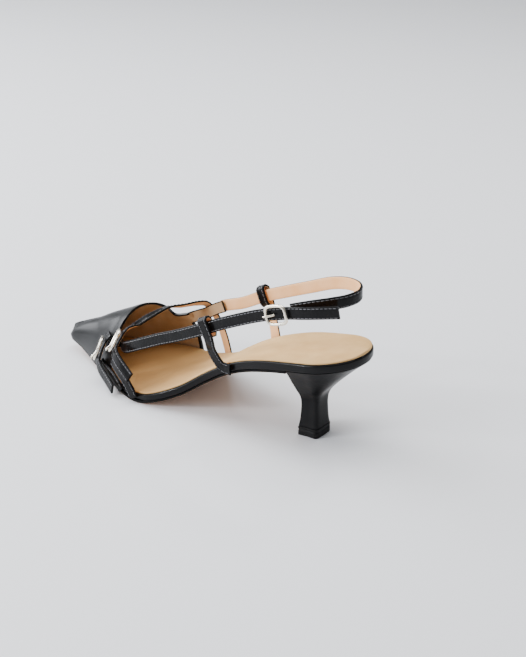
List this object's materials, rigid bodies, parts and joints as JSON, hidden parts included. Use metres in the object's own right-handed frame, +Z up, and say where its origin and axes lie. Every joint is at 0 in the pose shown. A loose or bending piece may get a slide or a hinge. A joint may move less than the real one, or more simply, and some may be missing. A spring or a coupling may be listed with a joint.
{
  "type": "slingback pump",
  "caption": "Left slingback pump with a pointed toe, a flared mid heel, two belts over the instep and a buckled strap behind the heel.",
  "frame": {"origin": "centre of the underside of the heel's top piece, on the floor", "axes": "+X to the toe, +Y to the outer (lateral) side of the left foot, +Z up"},
  "size_m": [0.25, 0.0867, 0.106],
  "materials": {
    "patent_black": "patent, gloss",
    "smooth_black": "smooth, polished",
    "lining_tan": "matte lining leather",
    "outsole_beige": "satin",
    "rubber_black": "matte",
    "pale_metal": "polished, pale gold tint"
  },
  "bodies": {
    "root": {"top_piece": "rubber_black", "heel": "patent_black", "outsole": "outsole_beige", "covered_board": "patent_black", "insole_sock": "lining_tan", "upper": "smooth_black", "sling_strap": "patent_black", "side_strap": "patent_black", "rear_belt": "patent_black", "front_belt": "patent_black", "rear_anchor": "patent_black", "front_anchor": "patent_black", "outer_support": "patent_black", "inner_support": "patent_black", "sling_buckle_frame": "pale_metal", "sling_buckle_prong": "pale_metal", "rear_buckle_frame": "pale_metal", "rear_buckle_prong": "pale_metal", "front_buckle_frame": "pale_metal", "front_buckle_prong": "pale_metal"}
  },
  "joints": []
}
